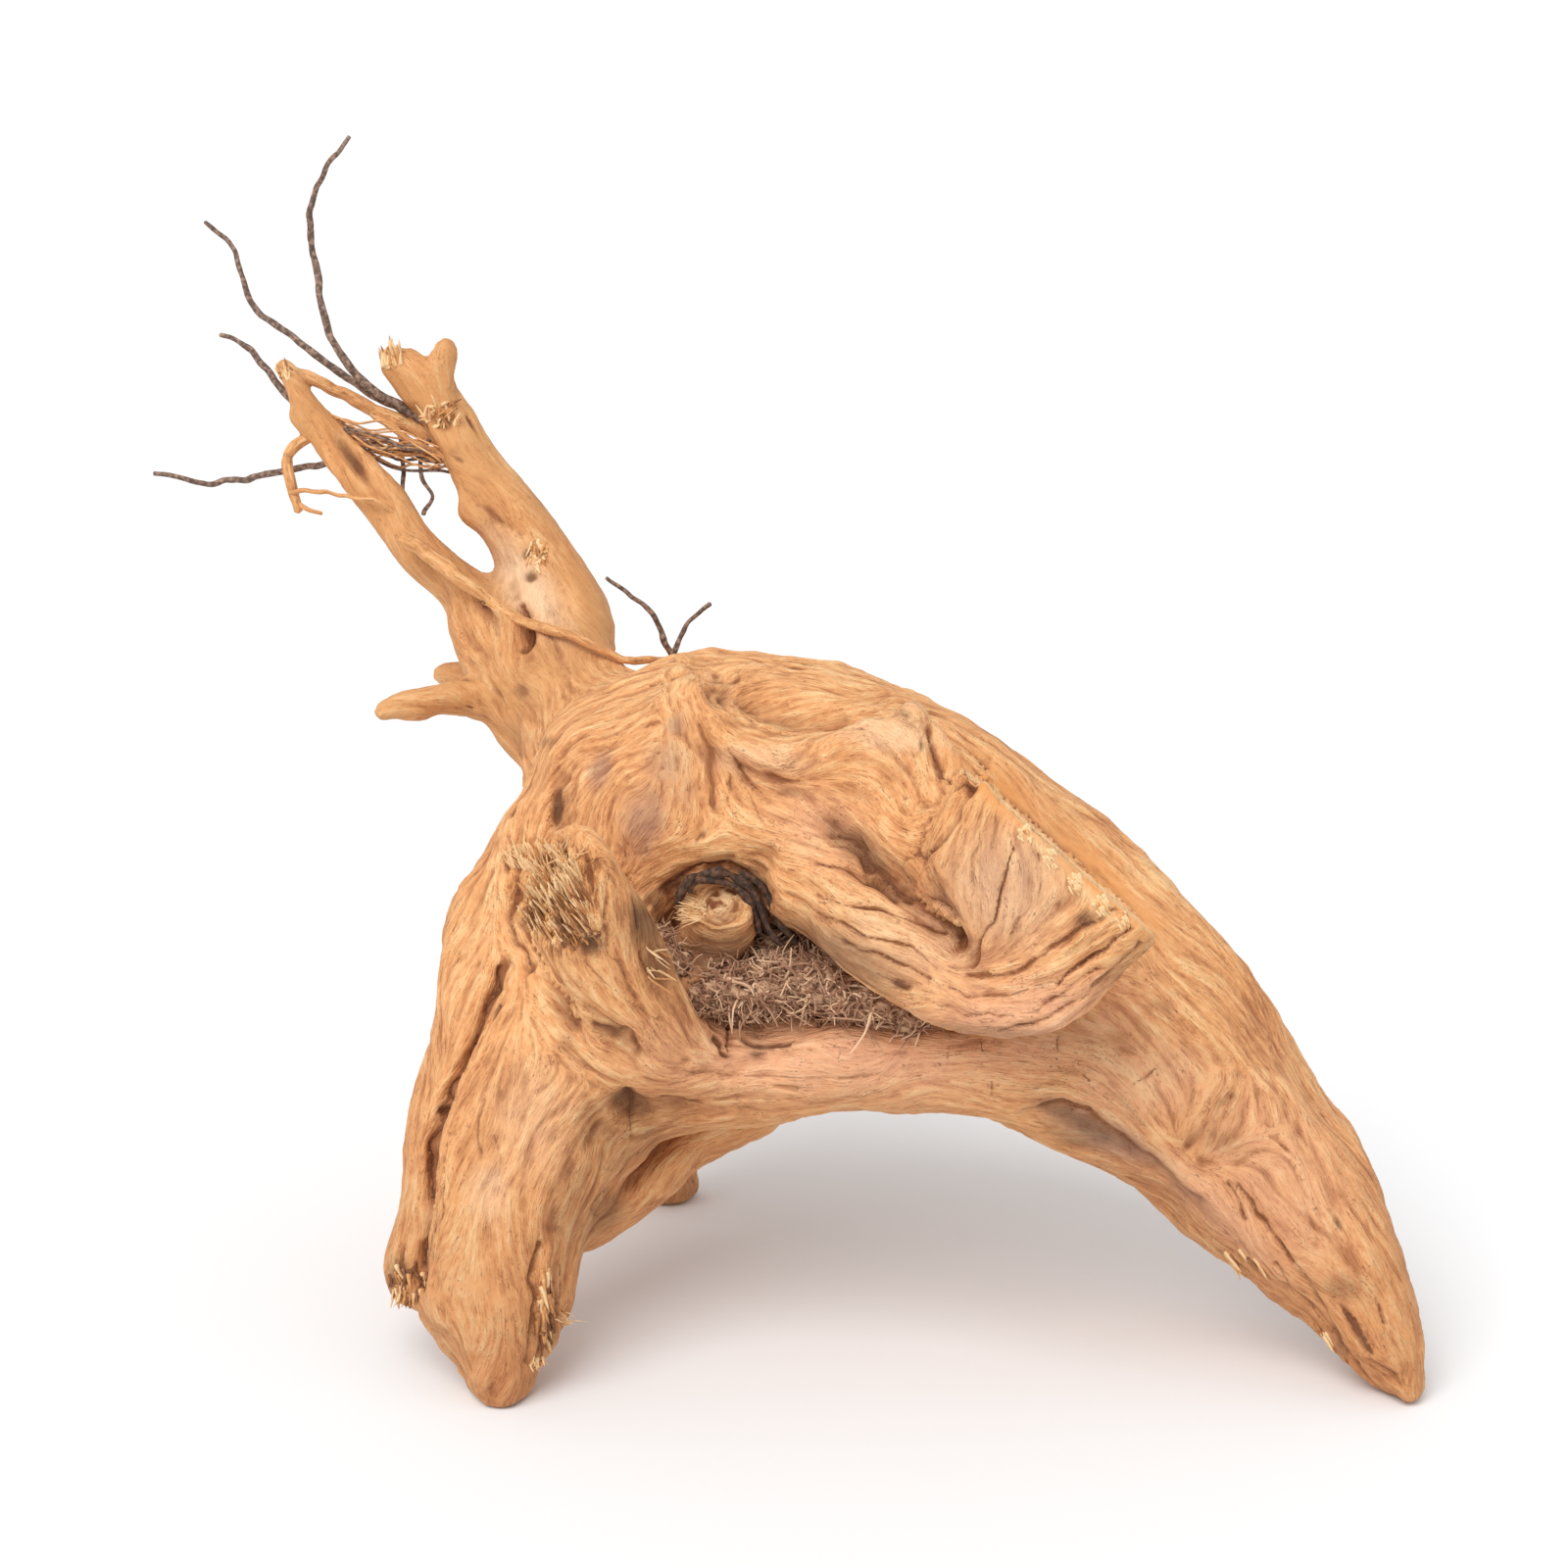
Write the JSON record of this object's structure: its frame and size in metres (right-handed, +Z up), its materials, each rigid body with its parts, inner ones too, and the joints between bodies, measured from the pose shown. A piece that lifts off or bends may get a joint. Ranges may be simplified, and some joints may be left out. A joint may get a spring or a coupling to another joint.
{
  "type": "driftwood",
  "caption": "Eroded root stump that arches over three feet, with a sawn fan-shaped limb in front, a soil-filled pocket and a forked branch with thin roots behind.",
  "frame": {"origin": "middle of the piece's length and depth, on the floor its three feet rest on", "axes": "+X along the length of the arch, towards the long pointed right leg; +Y to the back, where the forked branch leans; +Z up"},
  "size_m": [0.4154, 0.2758, 0.3633],
  "materials": {
    "wood": "weathered bare wood, light orange-tan, fibrous and matte",
    "soil": "dried soil and dead rootlets, dark brown, rough and matte"
  },
  "bodies": {
    "root": {"driftwood": "wood", "soil_mat": "soil"}
  },
  "joints": []
}
